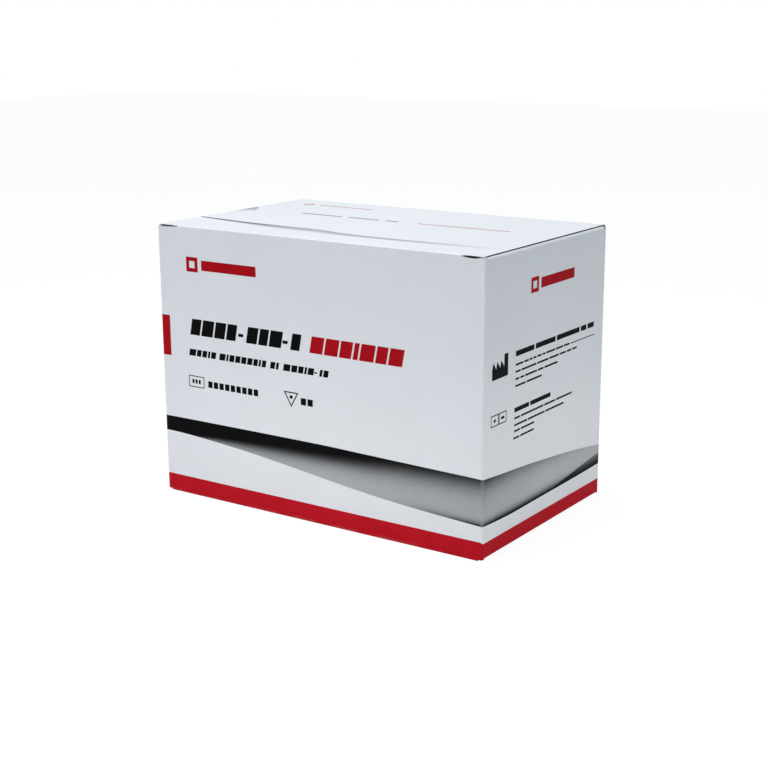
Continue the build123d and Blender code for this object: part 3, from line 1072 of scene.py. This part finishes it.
def edge_wear(finish):
    """How worn a place on the box's outside is.

    Its distance to the nearest edge is the second smallest of its distances to the box's faces. The wear fades
    out over the worn strip, broken up by noise.
    """
    strip = (0.3 * MM, 2.2 * MM)
    x, y, z = finish.places()
    from_side = WIDTH / 2 - abs(x)
    from_front = DEPTH / 2 - abs(y)
    from_floor = z.least(HEIGHT - z)
    low, high = from_side.least(from_front), from_side.most(from_front)
    distance = low.most(high.least(from_floor))
    patches = finish.noise(90, 3, roughness=0.6)
    return (1 - distance.eased(*strip)) * patches.eased(0.42, 0.66)


# How deep the fine pits in coated board, its felted inside and its cut edges are
PIT_DEPTH = 0.02 * MM
FELT_DEPTH = 0.05 * MM
CUT_DEPTH = 0.08 * MM


def coated_board():
    """Clay-coated white board: a satin coat, a faint cloudiness, calender streaks, fine pits, and pulp showing
    through where the folds are worn.
    """
    finish = Finish("coated_board")
    colour = tuple(inks().coat)
    cloud = finish.noise(24, 4, roughness=0.55)
    grain = finish.noise(900, 3, (1, 1, 0.6))
    worn = edge_wear(finish)
    white = finish.blend(cloud.eased(0.3, 0.7), shaded(colour, 0.985), shaded(colour, 1.01))
    white = finish.blend(grain.eased(0.35, 0.7) * 0.4, white, shaded(colour, 0.975))
    white = finish.blend(worn * 0.2, white, (0.91, 0.92, 0.93))
    rough = 0.40 + 0.10 * cloud + 0.06 * grain + 0.16 * worn
    pits = finish.noise(2600, 2) * 0.6 + finish.noise(380, 3) * 0.4 + worn * 0.5
    return finish.surface(
        Base_Color=white,
        Roughness=rough,
        Coat_Weight=0.12 - 0.06 * worn,
        Coat_Roughness=0.3,
        IOR=1.45,
        Normal=finish.bump(pits, PIT_DEPTH),
    )


def uncoated_board():
    """The grey-white inside: matt, felted fibres lying along the board, darker and paler flecks."""
    finish = Finish("uncoated_board")
    colour = tuple(inks().inside)
    fibres = finish.noise(700, 4, (0.35, 1, 1), 0.65)
    cloud = finish.noise(45, 4)
    flecks = finish.noise(260, 1)
    tone = finish.blend(fibres.eased(0.3, 0.7), shaded(colour, 0.93), shaded(colour, 1.05))
    tone = finish.blend(cloud.eased(0.35, 0.7) * 0.5, tone, shaded(colour, 0.95))
    tone = finish.blend(flecks.eased(0.70, 0.76) * 0.6, tone, shaded(colour, 0.62))
    height = fibres * 0.8 + finish.noise(2400, 2) * 0.4
    return finish.surface(
        Base_Color=tone,
        Roughness=0.86 - 0.08 * fibres,
        Specular_IOR_Level=0.3,
        Normal=finish.bump(height, FELT_DEPTH),
    )


def cut_board():
    """A cut edge: layered fibres, a little torn and dirty. Round the lid's panel, apart from the front right
    corner and the inner ends of the slits, it is painted nearly black as painted shadow of the gap under the
    lid and of the slits.
    """
    finish = Finish("cut_board")
    colour = tuple(inks().pulp)
    under_lid, slit_end = HEIGHT - sizes().board, WIDTH / 2 - sizes().slit
    corner, slit_fade, lid_fade = (2.0 * MM, 3.6 * MM), 3 * MM, 0.06 * MM
    x, y, z = finish.places()
    high = z.eased(under_lid - lid_fade, under_lid)
    past_slit = abs(x).eased(slit_end, slit_end + slit_fade)
    from_corner = (WIDTH / 2 - x).most(y + DEPTH / 2).eased(*corner)
    layers = finish.noise(1500, 3, roughness=0.7)
    dirt = finish.noise(120, 3)
    tone = finish.blend(layers.eased(0.3, 0.7), shaded(colour, 0.78), shaded(colour, 1.08))
    tone = finish.blend(dirt.eased(0.5, 0.75) * 0.4, tone, shaded(colour, 0.7))
    # Painted shadow: the lid's raw edges near its sides and round the slits are made nearly black for the shade
    # in the gap and the slits.
    tone = finish.blend(high * past_slit * from_corner, tone, tuple(inks().lid_edge_painted_shadow))
    bump = finish.bump(layers, CUT_DEPTH)
    return finish.surface(Base_Color=tone, Roughness=0.9, Specular_IOR_Level=0.25, Normal=bump)


def printed(finish, colour, gloss, mottle, grain, worn):
    """The end of every ink's material: the mottle and the wear dull its gloss, over the board's pits."""
    height = grain * 0.5 + finish.noise(380, 3) * 0.4
    return finish.surface(
        Base_Color=colour,
        Roughness=gloss + 0.10 * mottle + 0.12 * worn,
        Specular_IOR_Level=0.04,
        Normal=finish.bump(height, PIT_DEPTH),
    )


def ink(name, colour, gloss):
    """An ink on coated board: a faint mottle where it lies thinner, fine pinholes, and wear at the folds."""
    finish = Finish(name)
    mottle = finish.noise(160, 4, roughness=0.6)
    grain = finish.noise(1700, 2)
    worn = edge_wear(finish)
    thin = tuple(1.10 * channel + 0.0015 for channel in colour)
    tone = finish.blend(mottle.eased(0.35, 0.75) * 0.7, colour, thin)
    tone = finish.blend(grain.eased(0.68, 0.78) * 0.2, tone, tuple(channel + 0.03 for channel in colour))
    tone = finish.blend(worn * 0.22, tone, tuple(0.6 * channel + 0.28 for channel in colour))
    return printed(finish, tone, gloss, mottle, grain, worn)


def ribbon_ink():
    """The ribbon's ink: its tone comes with the mesh, is raised to the power of display light, and carries a
    fine halftone grain where it is neither black nor white.
    """
    finish = Finish("ribbon_ink")
    display_power = 2.2
    tone = finish.attribute("tone")
    grain = finish.noise(1300, 2)
    mottle = finish.noise(120, 3)
    worn = edge_wear(finish)
    speckled = tone + (grain - 0.5) * 0.10 * tone * (1 - tone) * 4 + (mottle - 0.5) * 0.03
    light = speckled.most(0.02) ** display_power
    colour = finish.blend(light, (0.002, 0.002, 0.0025), (0.96, 0.98, 1.0))
    colour = finish.blend(worn * 0.16, colour, (0.75, 0.76, 0.78))
    return printed(finish, colour, 0.44, mottle, grain, worn)


def finish_named(name):
    """A material of the carton, made when it is first asked for."""
    made = bpy.data.materials.get(name)
    if made:
        return made
    makers = {
        "coated_board": coated_board,
        "uncoated_board": uncoated_board,
        "cut_board": cut_board,
        "ribbon_ink": ribbon_ink,
        "red_ink": lambda: ink("red_ink", tuple(inks().red), 0.38),
        "black_ink": lambda: ink("black_ink", tuple(inks().black), 0.42),
        "deep_red_ink": lambda: ink("deep_red_ink", tuple(inks().deep_red), 0.38),
    }
    return makers[name]()


def board_finishes():
    """The finishes of a sheet of board: its outer skin, its inner skin and its cut edges."""
    return [finish_named(name) for name in ("coated_board", "uncoated_board", "cut_board")]


# Operators


class PieceOperator:
    """What the operators share: they make pieces, and a failure stops the script."""

    bl_options = {"REGISTER", "UNDO"}

    @staticmethod
    def print_sheet(name, ink_name, sheet, body):
        """Makes a piece of print in one ink. The ribbon's ink takes its tone from the mesh."""
        tone = "tone" if ink_name == "ribbon_ink" else None
        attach(sheet.build(name, [finish_named(ink_name)], tone), body)


class CARTON_OT_body(PieceOperator, bpy.types.Operator):
    """Builds the walls, the flaps and the bottom of the carton."""

    bl_idname = "carton.body"
    bl_label = "Body"

    def execute(self, context):
        piece = body_sheet().build("body_sheet", board_finishes())
        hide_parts("carton_body")
        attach(piece, "carton")
        return {"FINISHED"}


class CARTON_OT_lid(PieceOperator, bpy.types.Operator):
    """Builds the lid with its tuck flap."""

    bl_idname = "carton.lid"
    bl_label = "Lid"

    def execute(self, context):
        piece = lid_sheet().build("lid_sheet", board_finishes())
        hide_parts("lid")
        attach(piece, "lid")
        return {"FINISHED"}


class CARTON_OT_crease(PieceOperator, bpy.types.Operator):
    """Builds the crease along the rear."""

    bl_idname = "carton.crease"
    bl_label = "Rear crease"

    def execute(self, context):
        s = context.scene.carton_sizes
        high, deep, cell = HEIGHT, DEPTH / 2, 0.4 * MM
        corners = [(deep, high - s.crease_reach), (deep, high), (deep - s.crease_reach, high)]
        surface = Folded(corners, s.crease, (1, 2, 0))
        tip = surface.starts[-1]
        rows = between(spaced(np.concatenate([[0, tip], surface.bends(14)]), cell), 0, tip)
        across = spaced([-WIDTH / 2 + s.fold, WIDTH / 2 - s.fold], s.cell)
        sheet = Sheet(s.crease_board, s.film * 0.5)
        sheet.patch(*surface.at(rows[:, None], across[None, :]))
        piece = sheet.build("rear_crease", board_finishes())
        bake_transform(piece)
        return {"FINISHED"}


class CARTON_OT_bands(PieceOperator, bpy.types.Operator):
    """Prints the red band round the foot, the ribbon above it and the ribbon's tail on the lid."""

    bl_idname = "carton.bands"
    bl_label = "Bands"

    def execute(self, context):
        self.print_sheet("base_band", "red_ink", base_band(), "carton")
        self.print_sheet("wall_ribbon", "ribbon_ink", wall_ribbon(), "carton")
        self.print_sheet("lid_ribbon", "ribbon_ink", lid_ribbon(), "lid")
        return {"FINISHED"}


class CARTON_OT_marks(PieceOperator, bpy.types.Operator):
    """Prints the marks that stand in place of words and signs on the front, the right panel and the lid."""

    bl_idname = "carton.marks"
    bl_label = "Marks"

    def execute(self, context):
        starts = wall_surface().starts
        front, right, lid = wall_place(starts[2]), wall_place(starts[3]), lid_place()
        self.print_sheet("front_marks", "black_ink", marks_sheet(front, front_print()), "carton")
        self.print_sheet("front_red_marks", "deep_red_ink", marks_sheet(front, front_red_print()), "carton")
        self.print_sheet("corner_tab", "deep_red_ink", wrapped_tab(5.9 * MM, 47.2 * MM, 68.6 * MM), "carton")
        self.print_sheet("side_marks", "black_ink", marks_sheet(right, side_print()), "carton")
        self.print_sheet("side_red_marks", "deep_red_ink", marks_sheet(right, side_red_print()), "carton")
        self.print_sheet("lid_marks", "black_ink", marks_sheet(lid, lid_print()), "lid")
        self.print_sheet("lid_red_marks", "deep_red_ink", marks_sheet(lid, lid_red_print()), "lid")
        self.print_sheet("lid_tab", "ribbon_ink", lid_tab(), "lid")
        return {"FINISHED"}


def add_area_lamp(name, place, target, size, watts, colour=(1, 1, 1)):
    """A flat lamp at a place, turned to a target and not seen itself."""
    data = bpy.data.lights.new(name, "AREA")
    data.shape = "RECTANGLE"
    (data.size, data.size_y), data.energy, data.color = size, watts, colour
    lamp = bpy.data.objects.new(name, data)
    bpy.context.scene.collection.objects.link(lamp)
    lamp.location = place
    lamp.rotation_euler = (Vector(target) - Vector(place)).to_track_quat("-Z", "Y").to_euler()
    lamp.visible_camera = False


class CARTON_OT_stage(bpy.types.Operator):
    """Sets the camera, the lamps, the even light and the floor."""

    bl_idname = "carton.stage"
    bl_label = "Stage"

    def execute(self, context):
        scene, settings = context.scene, context.scene.carton_studio
        self.place_camera(scene, settings)
        self.light(scene, settings)
        self.lay_floor(scene, settings)
        scene.view_settings.view_transform = "Standard"
        return {"FINISHED"}

    @staticmethod
    def place_camera(scene, settings):
        """The camera looks along a turned and raised line, rolls, and stands a little aside of it."""
        turn, rise, roll = settings.turn, settings.rise, settings.roll
        ahead = Vector((-math.sin(turn) * math.cos(rise), math.cos(turn) * math.cos(rise), -math.sin(rise)))
        level = Vector((math.cos(turn), math.sin(turn), 0))
        above = level.cross(ahead)
        right = math.cos(roll) * level + math.sin(roll) * above
        up = math.cos(roll) * above - math.sin(roll) * level
        place = Vector((0, 0, HEIGHT / 2)) - settings.distance * ahead
        place += settings.aside * right - settings.below * up
        data = bpy.data.cameras.new("camera")
        data.lens, data.sensor_width, data.clip_start, data.clip_end = settings.lens, 36, 0.01, 20
        camera = bpy.data.objects.new("camera", data)
        scene.collection.objects.link(camera)
        camera.matrix_world = Matrix.Translation(place) @ Matrix((right, up, -ahead)).transposed().to_4x4()
        scene.camera = camera

    @staticmethod
    def light(scene, settings):
        """A cool even light that the camera sees as white, two wide lamps, and a warm low one at each wall."""
        world = Finish("studio", bpy.data.worlds)
        scene.world = world.made
        lit = world.node("ShaderNodeBackground", {}, {0: (0.83, 0.92, 1.0, 1), 1: settings.world})
        seen = world.node("ShaderNodeBackground", {}, {0: (1, 1, 1, 1), 1: 1})
        ray = world.node("ShaderNodeLightPath").outputs["Is Camera Ray"]
        chosen = world.node("ShaderNodeMixShader", {}, {0: ray, 1: lit.outputs[0], 2: seen.outputs[0]})
        world.node("ShaderNodeOutputWorld", {}, {"Surface": chosen.outputs[0]})

        middle = (0, 0, HEIGHT / 2)
        add_area_lamp("top_lamp", (-0.08, -0.12, 0.95), middle, (0.7, 0.7), settings.top_lamp)
        add_area_lamp("front_lamp", (-0.75, -1.15, 0.55), middle, (0.8, 0.8), settings.front_lamp)
        target_height, away, below, size, warm = 0.02, 0.11, 0.012, (0.24, 0.03), (1, 0.93, 0.87)
        walls = [("front", 0, -1, 1), ("right", 1, 0, 1.3), ("rear", 0, 1, 1), ("left", -1, 0, 1)]
        for name, x, y, part in walls:
            face = Vector((x * WIDTH / 2, y * DEPTH / 2, target_height))
            place = face + Vector((x * away, y * away, -below))
            add_area_lamp(name + "_kick", place, face, size, part * settings.kick, warm)

    @staticmethod
    def lay_floor(scene, settings):
        """A pale floor that takes the shadow, and is mostly plain white to the camera."""
        finish = Finish("pale_floor")
        tone = finish.noise(6, 3)
        white = finish.blend(tone.eased(0.35, 0.65), (0.80, 0.80, 0.81), (0.82, 0.82, 0.82))
        paint = finish.node("ShaderNodeBsdfPrincipled", {}, {"Base Color": white, "Roughness": 0.85})
        glow = finish.node("ShaderNodeEmission", {}, {"Color": (1, 1, 1, 1), "Strength": 1.06})
        ray = finish.node("ShaderNodeLightPath").outputs["Is Camera Ray"]
        seen = Signal(finish, ray) * settings.floor_white
        chosen = finish.node("ShaderNodeMixShader", {}, {0: seen, 1: paint.outputs[0], 2: glow.outputs[0]})
        finish.node("ShaderNodeOutputMaterial", {}, {"Surface": chosen.outputs[0]})
        half = 3.0
        mesh = bpy.data.meshes.new("floor")
        corners = [(-half, -half, 0), (half, -half, 0), (half, half, 0), (-half, half, 0)]
        mesh.from_pydata(corners, [], [(0, 1, 2, 3)])
        mesh.materials.append(finish.made)
        floor = bpy.data.objects.new("floor", mesh)
        scene.collection.objects.link(floor)


class CARTON_PT_panel(bpy.types.Panel):
    """Lists the carton's settings and the steps that build it."""

    bl_idname = "CARTON_PT_panel"
    bl_label = "Carton"
    bl_space_type = "VIEW_3D"
    bl_region_type = "UI"
    bl_category = "Carton"

    def draw(self, context):
        for group in (context.scene.carton_sizes, context.scene.carton_inks, context.scene.carton_studio):
            column = self.layout.column(align=True)
            for key in group.bl_rna.properties.keys():
                if key not in ("rna_type", "name"):
                    column.prop(group, key)
        for operator in OPERATORS:
            self.layout.operator(operator.bl_idname)


OPERATORS = (
    CARTON_OT_body,
    CARTON_OT_lid,
    CARTON_OT_crease,
    CARTON_OT_bands,
    CARTON_OT_marks,
    CARTON_OT_stage,
)
CLASSES = (CartonSizes, CartonInks, StudioSettings, *OPERATORS, CARTON_PT_panel)


def register():
    for item in CLASSES:
        bpy.utils.register_class(item)
    bpy.types.Scene.carton_sizes = PointerProperty(type=CartonSizes)
    bpy.types.Scene.carton_inks = PointerProperty(type=CartonInks)
    bpy.types.Scene.carton_studio = PointerProperty(type=StudioSettings)


def unregister():
    del bpy.types.Scene.carton_studio
    del bpy.types.Scene.carton_inks
    del bpy.types.Scene.carton_sizes
    for item in reversed(CLASSES):
        bpy.utils.unregister_class(item)


def main():
    """Builds the carton and its studio."""
    register()
    bpy.ops.carton.body()
    bpy.ops.carton.lid()
    bpy.ops.carton.crease()
    bpy.ops.carton.bands()
    bpy.ops.carton.marks()
    bpy.ops.carton.stage()


if __name__ == "__main__":
    main()
